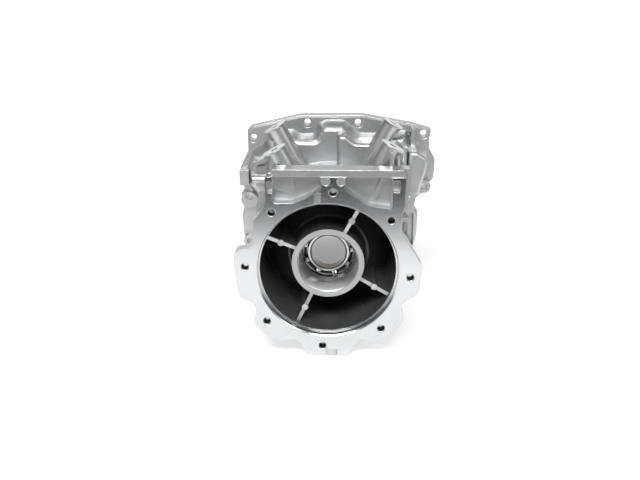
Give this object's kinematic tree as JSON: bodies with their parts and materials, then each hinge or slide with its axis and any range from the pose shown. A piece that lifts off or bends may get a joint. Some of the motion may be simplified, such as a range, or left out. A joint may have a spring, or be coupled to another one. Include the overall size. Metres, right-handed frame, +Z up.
{
  "type": "transmission adapter housing",
  "caption": "Cast aluminium transmission adapter housing with a bolted front flange, a spoked bearing hub, splayed mounting bosses and a rear bell flange.",
  "frame": {"origin": "on the main bore's axis in the machined face of the front flange", "axes": "-Y out of the front flange along the bore axis, +Z up away from the foot, +X to the right seen from the front"},
  "size_m": [0.2754, 0.1925, 0.2744],
  "materials": {
    "cast_aluminium": "as-cast satin, machined on its faces",
    "bearing_steel": "ground",
    "ball_steel": "polished",
    "cage_steel": "pressed",
    "spring_steel": "hardened and oiled"
  },
  "bodies": {
    "case": {"housing": "cast_aluminium", "bearing_outer_ring": "bearing_steel", "snap_ring": "spring_steel"},
    "inner_race": {"bearing_inner_ring": "bearing_steel"},
    "ball_train": {"bearing_ball_01": "ball_steel", "bearing_ball_02": "ball_steel", "bearing_ball_03": "ball_steel", "bearing_ball_04": "ball_steel", "bearing_ball_05": "ball_steel", "bearing_ball_06": "ball_steel", "bearing_ball_07": "ball_steel", "bearing_ball_08": "ball_steel", "bearing_ball_09": "ball_steel", "cage_front": "cage_steel", "cage_rear": "cage_steel", "cage_rivets": "cage_steel"}
  },
  "joints": [
    {"name": "inner_race_spin", "type": "hinge", "parent": "case", "child": "inner_race", "pos_m": [0, 0.0748, 0], "axis": [0, 1, 0], "continuous": true},
    {"name": "ball_train_spin", "type": "hinge", "parent": "case", "child": "ball_train", "pos_m": [0, 0.0748, 0], "axis": [0, 1, 0], "continuous": true}
  ],
  "couplings": [
    {"joint": "ball_train_spin", "follows": "inner_race_spin", "ratio": 0.42725}
  ]
}
